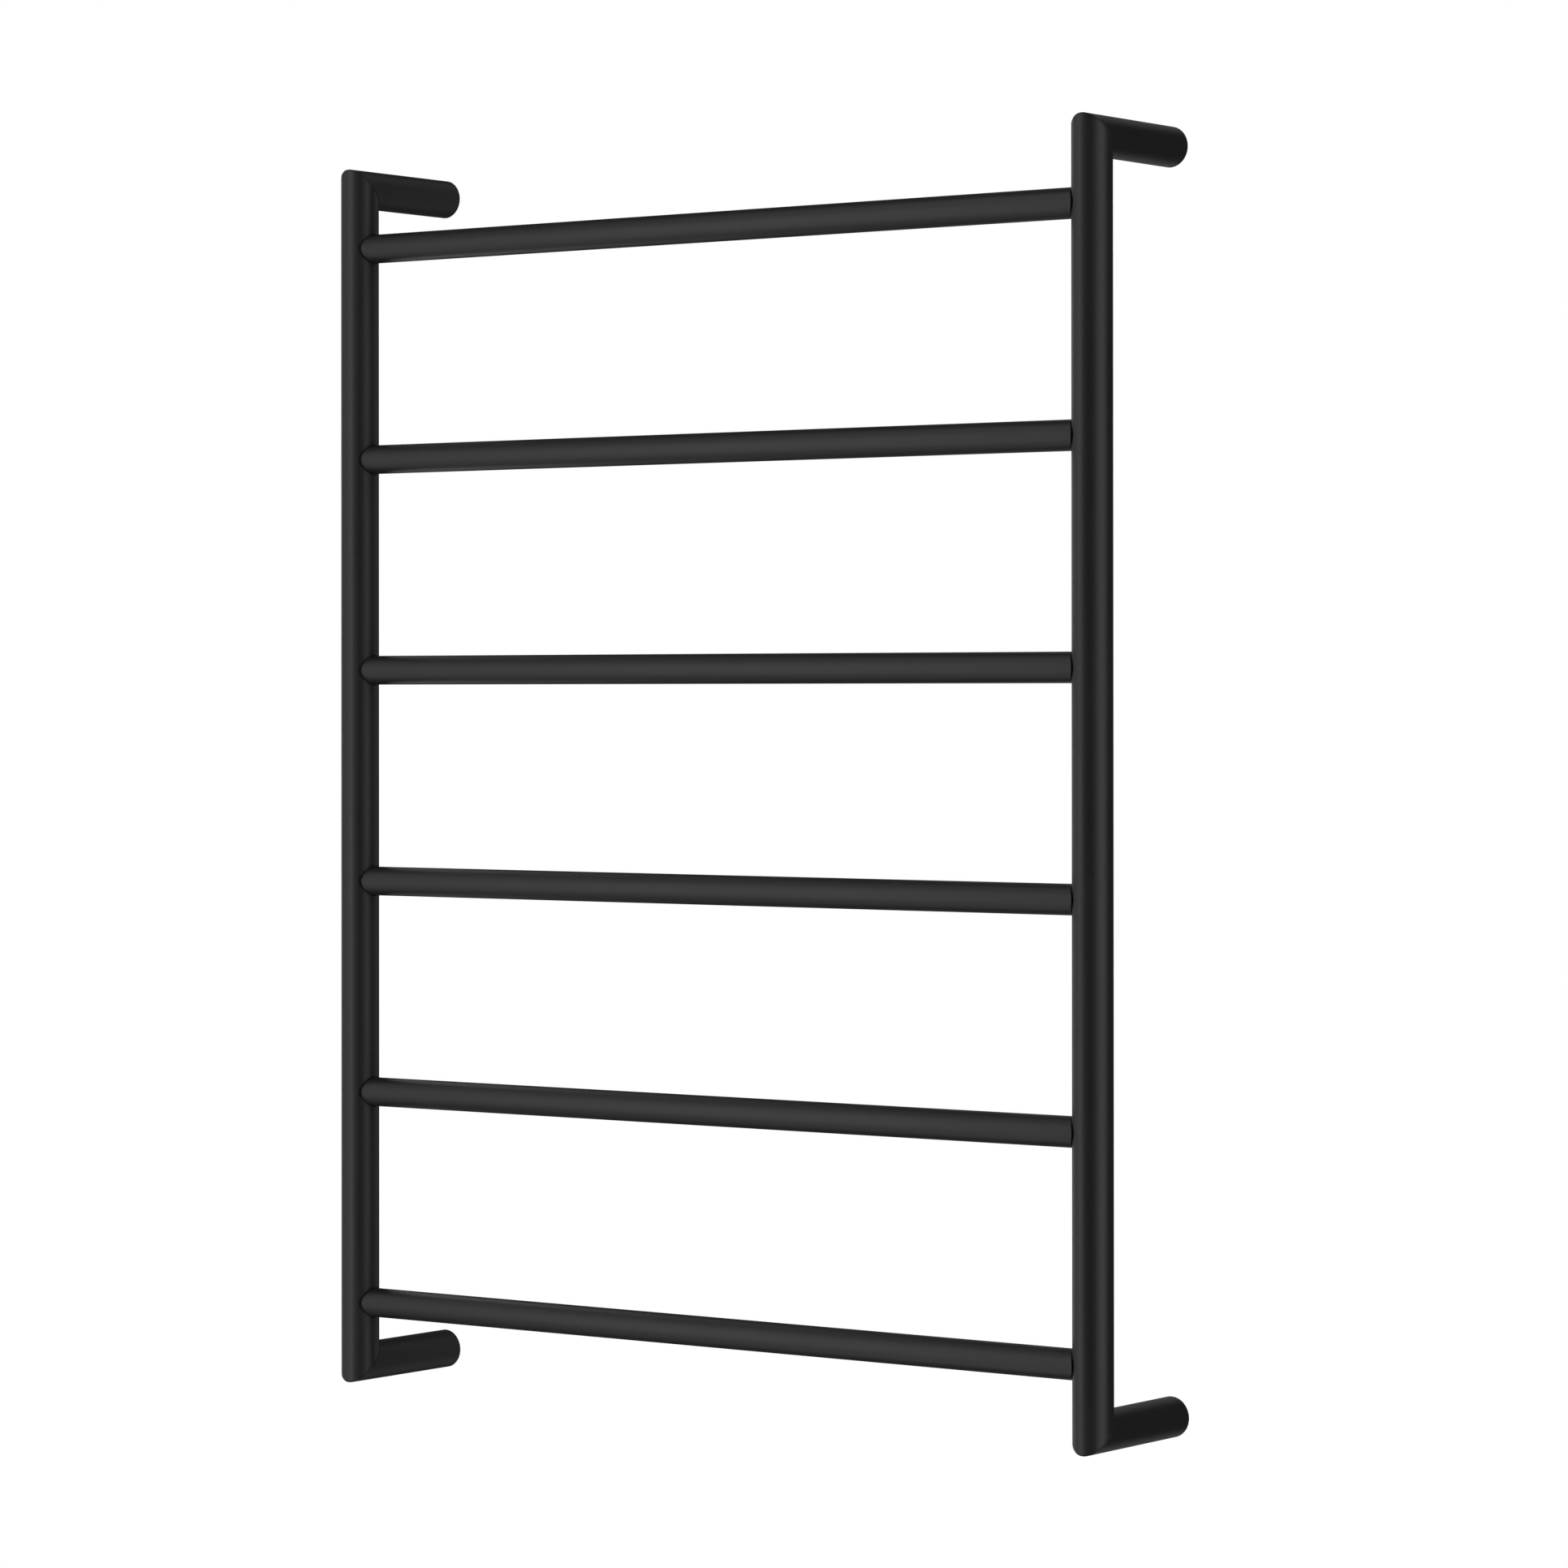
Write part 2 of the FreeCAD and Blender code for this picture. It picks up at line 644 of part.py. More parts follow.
def make_terminal_block():
    """A nylon block with three bores along it, and two screw wells down into each."""
    body = new_body("terminal_block")
    width, height = "Sizes.block_width / 2", "Sizes.block_height / 2"
    outline = new_sketch(body, "XZ_Plane")
    add_polygon(
        outline,
        [(f"-{width}", f"-{height}"), (width, f"-{height}"), (width, height), (f"-{width}", height)],
    )
    length = "Sizes.block_front - Sizes.block_back"
    feature(body, "Pad", outline, length)
    bores = new_sketch(body, "XZ_Plane")
    for pole in (-1, 0, 1):
        add_circle(bores, "Sizes.pole_hole / 2", f"{pole} * Sizes.pole_pitch", "0")
    feature(body, "Pocket", bores, length, reverse=True)
    wells = new_sketch(body, "XY_Plane", height)
    for across, along in terminal_places():
        add_circle(wells, "Sizes.terminal_well / 2", across, along)
    feature(body, "Pocket", wells, height)
    place(body, AXIS_X, "-Sizes.block_back", BLOCK_Z)
    keep(body, "terminal_block")


def terminal_places():
    """The six terminal screws, from the middle of the block's back face."""
    middle = "(Sizes.block_back - Sizes.block_front) / 2"
    return [
        (f"{pole} * Sizes.pole_pitch", f"{middle} + {end} * Sizes.terminal_spacing / 2")
        for pole in (-1, 0, 1)
        for end in (-1, 1)
    ]


def make_terminal_tubes():
    group = doc.addObject("Part::Compound", "terminal_tubes")
    group.Links = [make_terminal_tube(pole) for pole in (-1, 0, 1)]
    keep(group, "terminal_tubes")


def make_terminal_tube(pole):
    body = new_body("terminal_tube")
    sketch = new_sketch(body, "XZ_Plane", "Sizes.pole_inset")
    add_circle(sketch, "Sizes.pole_diameter / 2")
    add_circle(sketch, "Sizes.pole_bore / 2")
    length = "Sizes.block_front - Sizes.block_back - 2 * Sizes.pole_inset"
    feature(body, "Pad", sketch, length)
    holes = new_sketch(body, "XY_Plane")
    for across, along in terminal_places()[:2]:
        add_circle(holes, "Sizes.terminal_shank / 2 + Sizes.slip", "0", along)
    feature(body, "Pocket", holes, "Sizes.pole_diameter", reverse=True)
    place(body, f"{AXIS_X} + {pole} * Sizes.pole_pitch", "-Sizes.block_back", BLOCK_Z)
    return body


def make_terminal_screws():
    group = doc.addObject("Part::Compound", "terminal_screws")
    group.Links = [make_terminal_screw(across, along) for across, along in terminal_places()]
    keep(group, "terminal_screws")


def make_terminal_screw(across, along):
    body = new_body("terminal_screw")
    outline = new_sketch(body, "XZ_Plane")
    head, shank = "Sizes.terminal_head / 2", "Sizes.terminal_shank / 2"
    top, base, tip = "Sizes.terminal_head_top", "Sizes.terminal_head_base", "Sizes.terminal_tip"
    add_polygon(outline, [("0", tip), (shank, tip), (shank, base), (head, base), (head, top), ("0", top)])
    turned(body, "Revolution", outline, "Z_Axis")
    place(body, f"{AXIS_X} + {across}", f"{along} - Sizes.block_back", BLOCK_Z)
    return body


CORE_STRAIGHT = 2
CORE_BEND = 3
CORE_TAPER = 2.5


def make_cores():
    """The cold lead's two cores, spread to the outer terminals."""
    x, z, held_z = value(AXIS_X), -value(AXIS_Z), value(BLOCK_Z)
    sheath, block = -value("Sizes.lead_start"), -value("Sizes.block_front")
    near_x, far_x = value("Sizes.core_spacing / 2"), value("Sizes.pole_pitch")
    held = block + value("Sizes.terminal_spacing")
    for side, name in ((LEFT, "neutral_core"), (RIGHT, "live_core")):
        points = [
            vector(x + side * near_x, sheath, z),
            vector(x + side * near_x, sheath + CORE_STRAIGHT, z),
            vector(x + side * far_x, block - CORE_TAPER, held_z),
            vector(x + side * far_x, held, held_z),
        ]
        make_wire(name, points, [CORE_BEND, CORE_BEND], "Sizes.core_diameter")


def make_earth_clip():
    """A sprung strip, rolled to an open ring that grips the inside of the arm."""
    body = new_body("earth_clip")
    sketch = new_sketch(body, "XZ_Plane")
    outside = f"{TUBE_BORE} - Sizes.slip"
    add_circle(sketch, outside)
    add_circle(sketch, f"{outside} - Sizes.clip_thickness")
    feature(body, "Pad", sketch, "Sizes.clip_width")
    opening = new_sketch(body, "XZ_Plane")
    reach = f"({TUBE_RADIUS})"
    spread = f"{reach} * tan(Sizes.clip_opening / 2 * 1 deg)"
    add_polygon(opening, [("0", "0"), (f"-{spread}", f"-{reach}"), (spread, f"-{reach}")])
    feature(body, "Pocket", opening, "Sizes.clip_width", reverse=True)
    place(body, AXIS_X, "Sizes.clip_width - Sizes.clip_front", f"-{AXIS_Z}")
    keep(body, "earth_clip")


def make_earth_wire():
    """From the middle terminal up to the earth clip."""
    x, z, held_z = value(AXIS_X), -value(AXIS_Z), value(BLOCK_Z)
    block = -value("Sizes.block_front")
    held = block + value("Sizes.terminal_spacing")
    clip_inside = value(f"{TUBE_BORE} - Sizes.slip - Sizes.clip_thickness")
    top = z + clip_inside - value("Sizes.core_diameter / 2") - value("Sizes.slip")
    clip_middle = value("Sizes.clip_width / 2 - Sizes.clip_front")
    points = [
        vector(x, held, held_z),
        vector(x, block - CORE_TAPER, held_z),
        vector(x, clip_middle + CORE_BEND, top),
        vector(x, clip_middle - CORE_STRAIGHT, top),
    ]
    make_wire("earth_wire", points, [CORE_BEND, CORE_BEND], "Sizes.core_diameter")


def make_all():
    for side, side_name in SIDES:
        make_upright(side, side_name)
        for level, level_name in LEVELS:
            make_arm(level, level_name, side, side_name)
            make_mitre_weld(level, level_name, side, side_name)
            make_wall_boss(level, level_name, side, side_name)
    for number in range(1, BAR_COUNT + 1):
        make_crossbar(number)
        for side, side_name in SIDES:
            make_ferrule(side, side_name, number)
    make_set_screws()
    make_cable_seal()
    make_cold_lead()
    make_heating_cable()
    make_mouldings()
    make_terminal_block()
    make_terminal_tubes()
    make_terminal_screws()
    make_cores()
    make_earth_clip()
    make_earth_wire()


def check_all():
    doc.recompute()
    for thing in doc.Objects:
        if "Invalid" in thing.State or "Error" in thing.State:
            raise RuntimeError(f"{thing.Name} failed: {thing.State}")
    for part in parts:
        if part.Shape.isNull() or not part.Shape.isValid() or not part.Shape.Solids:
            raise RuntimeError(f"{part.Label} has no valid solid")


def export_all():
    os.makedirs("parts", exist_ok=True)
    for part in parts:
        part.Shape.exportStep(f"parts/{part.Label}.step")
        print(f"{part.Label}: {len(part.Shape.Solids)} solid, {part.Shape.Volume:.1f} mm3")


sheet = make_sheet()
make_all()
check_all()
export_all()
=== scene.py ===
import json
import math

import bpy
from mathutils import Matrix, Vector


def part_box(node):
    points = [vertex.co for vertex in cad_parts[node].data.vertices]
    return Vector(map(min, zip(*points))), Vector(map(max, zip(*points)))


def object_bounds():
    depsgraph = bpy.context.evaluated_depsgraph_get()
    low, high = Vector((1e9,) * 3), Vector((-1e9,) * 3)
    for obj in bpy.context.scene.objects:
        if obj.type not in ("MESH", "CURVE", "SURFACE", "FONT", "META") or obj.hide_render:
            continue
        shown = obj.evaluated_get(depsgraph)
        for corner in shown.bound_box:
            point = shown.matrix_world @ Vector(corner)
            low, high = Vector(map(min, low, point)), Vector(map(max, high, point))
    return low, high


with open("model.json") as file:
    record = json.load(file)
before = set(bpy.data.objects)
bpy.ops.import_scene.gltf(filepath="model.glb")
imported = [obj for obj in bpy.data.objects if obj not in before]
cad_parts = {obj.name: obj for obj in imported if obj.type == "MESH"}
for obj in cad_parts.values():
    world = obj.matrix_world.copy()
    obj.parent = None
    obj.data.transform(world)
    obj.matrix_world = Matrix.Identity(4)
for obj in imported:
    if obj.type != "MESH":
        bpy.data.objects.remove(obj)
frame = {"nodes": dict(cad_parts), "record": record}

# A wall-mounted towel warmer in matt black powder coat, seen from the front right. All its shapes are the
# CAD's, and this script gives them materials, a floor, lights and a camera. The frame is the CAD's too:
# metres, the origin on the wall between the four wall screws, +Y into the wall and +Z up.

MM = 0.001
cad_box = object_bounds()
nodes = frame["nodes"]
slot_of = {part["node"]: part["material_slot"] for part in frame["record"]["subparts"]}


# Materials. A node's object sits at the origin, so Object coordinates are the frame's own, in metres.


class Shader:
    """One material's node tree, with a short way to add and link nodes."""

    def __init__(self, name):
        self.material = bpy.data.materials.new(name)
        self.material.use_nodes = True
        self.tree = self.material.node_tree
        self.surface = self.tree.nodes["Principled BSDF"]
        self.place = self.add("ShaderNodeTexCoord").outputs["Object"]

    def add(self, kind, **settings):
        node = self.tree.nodes.new(kind)
        for key, setting in settings.items():
            setattr(node, key, setting)
        return node

    def link(self, source, target):
        self.tree.links.new(source, target)

    def constant(self, **values):
        """Values that are the same all over, set on the shader's own sockets."""
        for name, number in values.items():
            self.surface.inputs[name.replace("_", " ")].default_value = number

    def noise(self, size, detail=2.0, roughness=0.5, stretch=(1, 1, 1)):
        """Noise whose grain is about size metres; stretch makes it longer along an axis."""
        mapping = self.add("ShaderNodeMapping")
        mapping.inputs["Scale"].default_value = [1 / (size * factor) for factor in stretch]
        texture = self.add("ShaderNodeTexNoise")
        texture.inputs["Scale"].default_value = 1.0
        texture.inputs["Detail"].default_value = detail
        texture.inputs["Roughness"].default_value = roughness
        self.link(self.place, mapping.inputs["Vector"])
        self.link(mapping.outputs["Vector"], texture.inputs["Vector"])
        return texture.outputs[0]

    def ramp(self, value, *stops):
        """A colour ramp through (position, colour) stops."""
        node = self.add("ShaderNodeValToRGB")
        elements = node.color_ramp.elements
        while len(elements) < len(stops):
            elements.new(0.5)
        for element, (position, colour) in zip(elements, stops):
            element.position = position
            element.color = (*colour, 1)
        self.link(value, node.inputs["Fac"])
        return node.outputs["Color"]

    def spread(self, value, low, high, start=0.3, end=0.7):
        """The value, from start to end, spread over low to high."""
        node = self.add("ShaderNodeMapRange")
        node.inputs["From Min"].default_value = start
        node.inputs["From Max"].default_value = end
        node.inputs["To Min"].default_value = low
        node.inputs["To Max"].default_value = high
        self.link(value, node.inputs["Value"])
        return node.outputs["Result"]

    def maths(self, operation, first, second):
        """One sum on two values, each a number or another node's output."""
        node = self.add("ShaderNodeMath", operation=operation)
        for socket, source in zip(node.inputs, (first, second)):
            if isinstance(source, (int, float)):
                socket.default_value = source
            else:
                self.link(source, socket)
        return node.outputs[0]

    def blend(self, amount, first, second):
        """The first colour where amount is 0, the second where it is 1."""
        node = self.add("ShaderNodeMix", data_type="RGBA")
        self.link(amount, node.inputs["Factor"])
        colour_inputs, colour_output = (node.inputs[6], node.inputs[7]), node.outputs[2]
        for socket, source in zip(colour_inputs, (first, second)):
            if isinstance(source, tuple):
                socket.default_value = (*source, 1)
            else:
                self.link(source, socket)
        return colour_output

    def bump(self, height, depth, before=None):
        """A bump that is depth metres high where height is 1, on top of an earlier one."""
        node = self.add("ShaderNodeBump")
        node.inputs["Strength"].default_value = 1.0
        node.inputs["Distance"].default_value = depth
        self.link(height, node.inputs["Height"])
        if before is not None:
            self.link(before, node.inputs["Normal"])
        return node.outputs["Normal"]

    def edges(self, radius):
        """1 on edges sharper than the radius, 0 on open faces."""
        soft = self.add("ShaderNodeBevel", samples=4)
        soft.inputs["Radius"].default_value = radius
        plain = self.add("ShaderNodeNewGeometry")
        dot = self.add("ShaderNodeVectorMath", operation="DOT_PRODUCT")
        self.link(soft.outputs["Normal"], dot.inputs[0])
        self.link(plain.outputs["Normal"], dot.inputs[1])
        return self.spread(dot.outputs["Value"], 1.0, 0.0, 0.8, 0.995)

    def finish(self, colour, roughness, normal):
        """Link the three values that vary, and return the finished material."""
        for name, source in (("Base Color", colour), ("Roughness", roughness), ("Normal", normal)):
            self.link(source, self.surface.inputs[name])
        return self.material


def powder_coat():
    """Matt black powder coat: a fine sand grain over a slow orange peel, with a painted highlight that makes
    edges a little lighter.
    """
    s = Shader("powder_coat_black")
    slow = s.noise(45 * MM, detail=3)
    mottle = s.noise(2.2 * MM, detail=2)
    grain = s.noise(0.35 * MM, detail=1)
    body = s.ramp(slow, (0.3, (0.0072, 0.0073, 0.0075)), (0.7, (0.0088, 0.0089, 0.0092)))
    specks = s.spread(mottle, 0.0, 0.35, 0.4, 0.75)
    colour = s.blend(specks, body, (0.0112, 0.0114, 0.0117))
    # Painted highlight: edges of the coat are coloured lighter, and made a little glossier, to stand in for
    # light caught along rims and seams.
    painted_edge_highlight = s.maths("MULTIPLY", s.edges(0.5 * MM), s.spread(mottle, 0.1, 0.8))
    colour = s.blend(painted_edge_highlight, colour, (0.030, 0.030, 0.031))
    rough = s.maths("ADD", s.spread(slow, 0.44, 0.47), s.spread(mottle, -0.015, 0.015))
    rough = s.maths("SUBTRACT", rough, s.maths("MULTIPLY", painted_edge_highlight, 0.08))
    peel = s.bump(s.noise(3.5 * MM, detail=1), 0.005 * MM)
    s.constant(IOR=1.5)
    return s.finish(colour, rough, s.bump(grain, 0.009 * MM, peel))


def metal(name, dark, light, stain, rough, lines, depth):
    """Bare metal with fine cutting lines that run where lines is large, slow tarnish, and brighter edges."""
    s = Shader(name)
    slow = s.noise(5 * MM, detail=4, roughness=0.6)
    cuts = s.noise(0.12 * MM, detail=2, stretch=lines)
    nicks = s.noise(0.9 * MM, detail=3, roughness=0.7)
    colour = s.blend(s.spread(slow, 0.0, 1.0), dark, light)
    colour = s.blend(s.spread(nicks, 0.0, 0.55, 0.55, 0.75), colour, stain)
    worn = s.edges(0.25 * MM)
    colour = s.blend(s.maths("MULTIPLY", worn, 0.6), colour, tuple(min(1.0, 1.2 * c) for c in light))
    base = s.maths("ADD", s.spread(slow, rough, rough + 0.1), s.spread(cuts, -0.06, 0.06))
    base = s.maths("SUBTRACT", base, s.maths("MULTIPLY", worn, 0.1))
    s.constant(Metallic=1.0)
    return s.finish(colour, base, s.bump(cuts, depth, s.bump(nicks, 0.004 * MM)))


def turned_zinc():
    """Turned steel in bright zinc plate: rings round each boss, cloudy passivation and bright edges."""
    s = Shader("boss_turned_zinc")
    mirrored = s.add("ShaderNodeVectorMath", operation="ABSOLUTE")
    s.link(s.place, mirrored.inputs[0])
    # The four bosses lie alike about the origin, so the mirrored place needs only one boss's axis.
    low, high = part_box("arm_upper_right")
    axis_x, axis_z = (low[0] + high[0]) / 2, (low[2] + high[2]) / 2
    offset = s.add("ShaderNodeVectorMath", operation="SUBTRACT")
    offset.inputs[1].default_value = (axis_x, 0, axis_z)
    s.link(mirrored.outputs[0], offset.inputs[0])
    across = s.add("ShaderNodeVectorMath", operation="MULTIPLY")
    across.inputs[1].default_value = (1, 0, 1)
    s.link(offset.outputs[0], across.inputs[0])
    radius = s.add("ShaderNodeVectorMath", operation="LENGTH")
    s.link(across.outputs[0], radius.inputs[0])
    split = s.add("ShaderNodeSeparateXYZ")
    s.link(s.place, split.inputs[0])
    along = s.maths("ADD", radius.outputs["Value"], split.outputs["Y"])
    feed_marks = s.add("ShaderNodeTexNoise", noise_dimensions="1D")
    feed_marks.inputs["Scale"].default_value = 1 / (0.25 * MM)
    feed_marks.inputs["Detail"].default_value = 1.0
    s.link(along, feed_marks.inputs["W"])
    rings = feed_marks.outputs[0]
    cloud = s.noise(4 * MM, detail=4, roughness=0.65)
    spots = s.noise(0.8 * MM, detail=2)
    bluish, grey, straw = (0.50, 0.52, 0.54), (0.62, 0.63, 0.63), (0.66, 0.64, 0.58)
    colour = s.ramp(cloud, (0.3, bluish), (0.55, grey), (0.75, straw))
    colour = s.blend(s.spread(spots, 0.0, 0.4, 0.6, 0.8), colour, (0.42, 0.43, 0.44))
    worn = s.edges(0.3 * MM)
    colour = s.blend(s.maths("MULTIPLY", worn, 0.7), colour, (0.78, 0.79, 0.80))
    rough = s.maths("ADD", s.spread(cloud, 0.26, 0.38), s.spread(rings, -0.06, 0.06))
    rough = s.maths("SUBTRACT", rough, s.maths("MULTIPLY", worn, 0.08))
    s.constant(Metallic=1.0)
    return s.finish(colour, rough, s.bump(rings, 0.012 * MM))


def moulded(name, dark, light, rough, grain=0.3 * MM, depth=0.004 * MM, dust=None, **constants):
    """Moulded plastic or rubber: a slow tone, a fine grain, and pale dust that settles on edges too."""
    s = Shader(name)
    slow = s.noise(7 * MM, detail=3)
    fine = s.noise(grain, detail=2)
    colour = s.blend(s.spread(slow, 0.0, 1.0), dark, light)
    settled = dust if dust is not None else tuple(min(1.0, 1.5 * c + 0.02) for c in light)
    colour = s.blend(s.spread(fine, 0.0, 0.25, 0.5, 0.8), colour, settled)
    worn = s.maths("MULTIPLY", s.edges(0.3 * MM), s.spread(fine, 0.2, 0.6))
    colour = s.blend(worn, colour, settled)
    base = s.maths("ADD", s.spread(slow, rough, rough + 0.08), s.spread(fine, -0.04, 0.04))
    s.constant(**constants)
    return s.finish(colour, base, s.bump(fine, depth, s.bump(slow, 0.02 * MM)))


def striped(name, ground, stripe, rough):
    """Insulation in one colour with a stripe of another along it."""
    s = Shader(name)
    slow = s.noise(6 * MM, detail=2)
    fine = s.noise(0.25 * MM, detail=2)
    split = s.add("ShaderNodeSeparateXYZ")
    normal = s.add("ShaderNodeNewGeometry")
    s.link(normal.outputs["Normal"], split.inputs[0])
    lean = s.maths("ADD", split.outputs["X"], split.outputs["Z"])
    in_stripe = s.spread(lean, 0.0, 1.0, -0.05, 0.05)
    colour = s.blend(in_stripe, ground, stripe)
    shade = s.spread(slow, 0.0, 0.2)
    colour = s.blend(shade, colour, tuple(0.6 * c for c in ground))
    worn = s.maths("MULTIPLY", s.edges(0.2 * MM), 0.4)
    colour = s.blend(worn, colour, stripe)
    base = s.maths("ADD", s.spread(slow, rough, rough + 0.08), s.spread(fine, -0.03, 0.03))
    return s.finish(colour, base, s.bump(fine, 0.004 * MM))


def woven(name, dark, light):
    """Woven glass sleeve set in varnish: two sets of diagonal strands, over and under each other."""
    s = Shader(name)
    waves = []
    for lean in (1, -1):
        turn = s.add("ShaderNodeMapping")
        turn.inputs["Rotation"].default_value = (0, math.radians(45 * lean), math.radians(30 * lean))
        strand = s.add("ShaderNodeTexWave")
        strand.inputs["Scale"].default_value = 1 / (4 * MM)
        strand.inputs["Distortion"].default_value = 1.0
        strand.inputs["Detail"].default_value = 1.0
        s.link(s.place, turn.inputs["Vector"])
        s.link(turn.outputs["Vector"], strand.inputs["Vector"])
        waves.append(strand.outputs["Fac"])
    weave = s.maths("MAXIMUM", *waves)
    slow = s.noise(6 * MM, detail=3)
    colour = s.blend(s.spread(weave, 0.0, 1.0, 0.3, 0.9), dark, light)
    colour = s.blend(s.spread(slow, 0.0, 0.35), colour, tuple(0.8 * c for c in dark))
    worn = s.edges(0.4 * MM)
    colour = s.blend(s.maths("MULTIPLY", worn, 0.4), colour, light)
    rough = s.maths("ADD", s.spread(slow, 0.42, 0.55), s.spread(weave, 0.06, -0.06, 0.2, 0.9))
    return s.finish(colour, rough, s.bump(weave, 0.08 * MM))


# How much longer than wide a cutting line is.
LONG = 60

# The material of each of the record's slots.
FINISHES = {
    "powder_coat": powder_coat(),
    "ferrule_steel": metal(
        "ferrule_blackened", (0.035, 0.035, 0.037), (0.06, 0.06, 0.062), (0.02, 0.02, 0.02),
        0.42, (1, LONG, LONG), 0.01 * MM,
    ),
    "boss_steel": turned_zinc(),
    "screw_steel": metal(
        "screw_stainless", (0.46, 0.47, 0.49), (0.58, 0.59, 0.61), (0.30, 0.29, 0.27),
        0.24, (LONG, LONG, 1), 0.006 * MM,
    ),
    "clip_steel": metal(
        "clip_sprung_steel", (0.44, 0.44, 0.43), (0.56, 0.56, 0.55), (0.33, 0.31, 0.26),
        0.30, (LONG, 1, LONG), 0.006 * MM,
    ),
    "seal_rubber": moulded(
        "seal_black_rubber", (0.014, 0.014, 0.014), (0.022, 0.022, 0.022), 0.58, dust=(0.07, 0.068, 0.064),
    ),
    "lead_sheath": moulded(
        "lead_black_silicone", (0.024, 0.024, 0.026), (0.035, 0.035, 0.037), 0.52, dust=(0.08, 0.078, 0.074),
    ),
    "heating_sheath": moulded(
        "heating_red_silicone", (0.36, 0.055, 0.032), (0.47, 0.085, 0.05), 0.50, dust=(0.58, 0.27, 0.22),
    ),
    "joint_resin": moulded(
        "joint_black_sleeve", (0.04, 0.04, 0.044), (0.058, 0.058, 0.063), 0.40,
        grain=0.5 * MM, depth=0.01 * MM,
    ),
    "cutout_sleeve": woven("cutout_glass_sleeve", (0.46, 0.43, 0.35), (0.68, 0.66, 0.60)),
    "terminal_nylon": moulded(
        "terminal_white_nylon", (0.78, 0.77, 0.71), (0.86, 0.85, 0.80), 0.38, grain=0.4 * MM,
        dust=(0.62, 0.60, 0.54), Subsurface_Weight=0.1,
    ),
    "terminal_brass": metal(
        "terminal_brass", (0.68, 0.48, 0.20), (0.82, 0.62, 0.28), (0.42, 0.30, 0.15),
        0.26, (LONG, 1, LONG), 0.006 * MM,
    ),
    "live_insulation": moulded(
        "live_brown_pvc", (0.17, 0.075, 0.032), (0.23, 0.105, 0.048), 0.36, grain=0.2 * MM,
    ),
    "neutral_insulation": moulded(
        "neutral_blue_pvc", (0.04, 0.12, 0.37), (0.06, 0.16, 0.47), 0.36, grain=0.2 * MM,
    ),
    "earth_insulation": striped("earth_green_yellow_pvc", (0.06, 0.28, 0.05), (0.72, 0.60, 0.05), 0.36),
}

for name, slot in slot_of.items():
    mesh = nodes[name].data
    mesh.materials.clear()
    mesh.materials.append(FINISHES[slot])


# Floor, light and camera.

# Metres from the rack's foot down to the floor: enough that it doesn't block a view from below.
FLOOR_DROP = 2.4
FLOOR_SIZE = 16.0
# The middle of the crossbars, which all the lights face.
RACK_MIDDLE = (0, -0.09, 0)
# Watts of each light, by its degrees round the rack from its front towards +X.
STRIPS = {-110: 4, -70: 2, -50: 1, -30: 6, 70: 3, 90: 4}
PAIRS = {-45: 1, 0: 2, 180: 0.5}


def make_floor():
    """A pale floor that glows nearly as bright as the background, so that no horizon shows."""
    low, _ = cad_box
    half = FLOOR_SIZE / 2
    corners = [(-half, -half), (half, -half), (half, half), (-half, half)]
    mesh = bpy.data.meshes.new("floor")
    mesh.from_pydata([(x, y, low[2] - FLOOR_DROP) for x, y in corners], [], [(0, 1, 2, 3)])
    s = Shader("floor_pale")
    s.constant(Base_Color=(0.9, 0.9, 0.9, 1), Roughness=0.9)
    s.constant(Emission_Color=(1, 1, 1, 1), Emission_Strength=0.97)
    mesh.materials.append(s.material)
    floor = bpy.data.objects.new("floor", mesh)
    floor.visible_diffuse = False
    floor.visible_glossy = False
    bpy.context.scene.collection.objects.link(floor)


def softbox(name, place, size, power):
    """A rectangular area light that faces the rack's middle and doesn't show itself."""
    light = bpy.data.lights.new(name, "AREA")
    light.shape = "RECTANGLE"
    light.size, light.size_y = size
    light.energy = power
    lamp = bpy.data.objects.new(name, light)
    lamp.location = place
    towards = Vector(RACK_MIDDLE) - Vector(place)
    lamp.rotation_euler = towards.to_track_quat("-Z", "Y").to_euler()
    lamp.visible_camera = False
    bpy.context.scene.collection.objects.link(lamp)


def around_rack(degrees, radius, height):
    """A place on a level circle round the rack's middle, by its degrees from the front towards +X."""
    angle = math.radians(degrees)
    middle_x, middle_y, middle_z = RACK_MIDDLE
    return (middle_x + radius * math.sin(angle), middle_y - radius * math.cos(angle), middle_z + height)


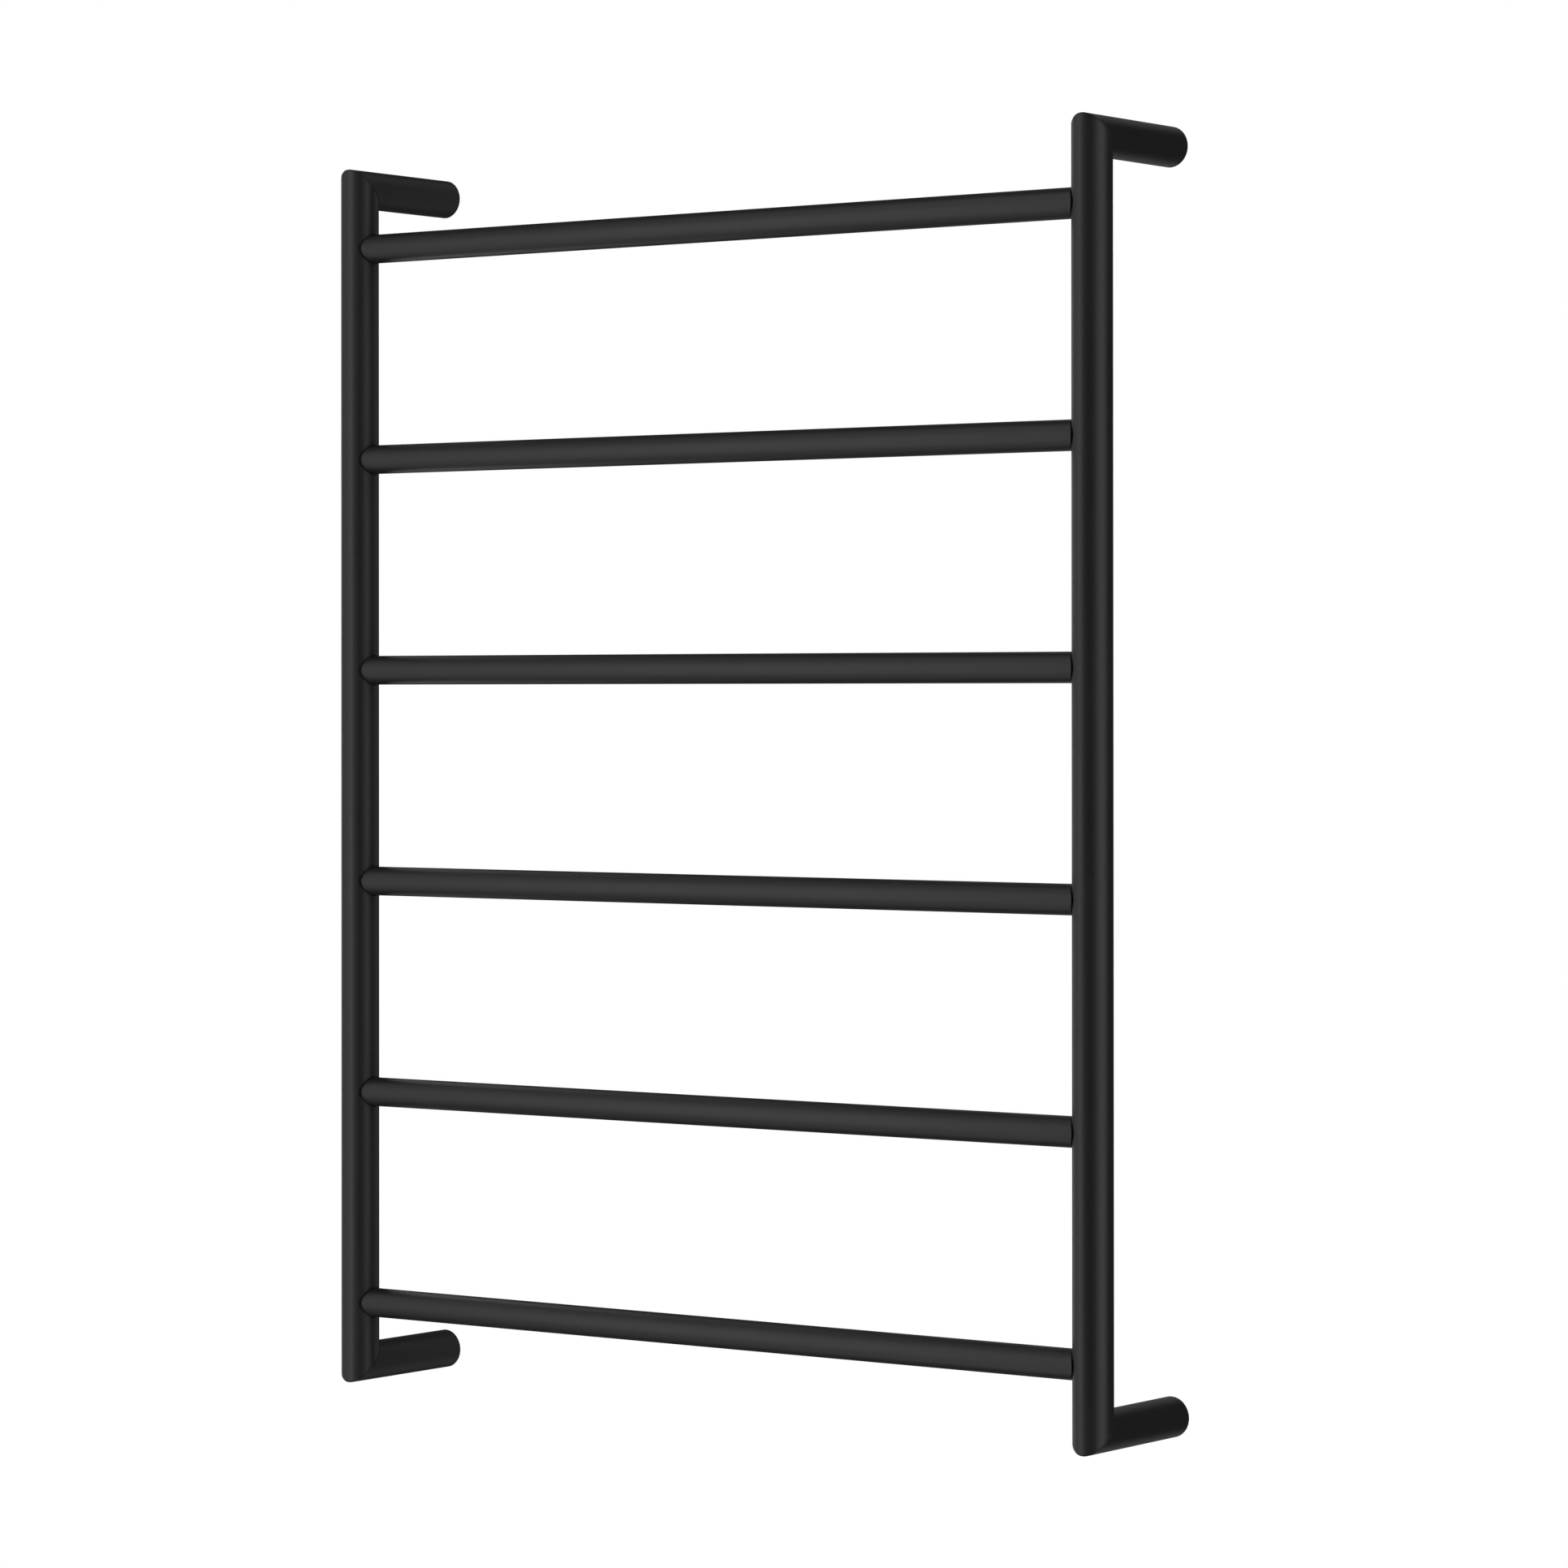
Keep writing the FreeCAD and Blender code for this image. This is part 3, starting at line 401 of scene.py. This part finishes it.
def make_lights():
    """A ring of upright strips, pairs of square lights above and below, and one light behind the rack."""
    strip_radius, strip_size = 1.25, (0.44, 1.9)
    for degrees, power in STRIPS.items():
        softbox(f"strip_{degrees}", around_rack(degrees, strip_radius, 0), strip_size, power)
    pair_radius, pair_height, pair_size = 0.7, 1.1, (0.8, 0.8)
    for degrees, power in PAIRS.items():
        for level in (1, -1):
            place = around_rack(degrees, pair_radius, level * pair_height)
            softbox(f"pair_{degrees}_{level}", place, pair_size, power)
    behind, behind_size, behind_power = (0, 0.4, 0), (0.5, 1.2), 0.5
    softbox("behind", behind, behind_size, behind_power)


def make_world(seen, fill):
    """A white background of the brightness seen, which lights the rack evenly with the fill."""
    world = bpy.data.worlds.new("studio")
    world.use_nodes = True
    tree = world.node_tree
    shown = tree.nodes["Background"]
    shown.inputs["Color"].default_value = (1, 1, 1, 1)
    shown.inputs["Strength"].default_value = seen
    around = tree.nodes.new("ShaderNodeBackground")
    around.inputs["Color"].default_value = (1, 1, 1, 1)
    around.inputs["Strength"].default_value = fill
    path = tree.nodes.new("ShaderNodeLightPath")
    mix = tree.nodes.new("ShaderNodeMixShader")
    tree.links.new(path.outputs["Is Camera Ray"], mix.inputs["Fac"])
    tree.links.new(around.outputs[0], mix.inputs[1])
    tree.links.new(shown.outputs[0], mix.inputs[2])
    tree.links.new(mix.outputs[0], tree.nodes["World Output"].inputs["Surface"])
    bpy.context.scene.world = world


def make_camera():
    """A long lens in front and to the right, level with the rack's middle and turned back towards it."""
    camera = bpy.data.cameras.new("camera")
    camera.sensor_width = 36
    camera.lens = 120.5
    camera.shift_y = -0.07
    eye = bpy.data.objects.new("camera", camera)
    eye.location = (1.985, -2.7285, 0.054)
    eye.rotation_euler = (math.radians(90.21), math.radians(0.04), math.radians(36.11))
    bpy.context.scene.collection.objects.link(eye)
    bpy.context.scene.camera = eye


make_floor()
make_world(seen=1.0, fill=0.06)
make_lights()
make_camera()
bpy.context.scene.view_settings.view_transform = "Standard"
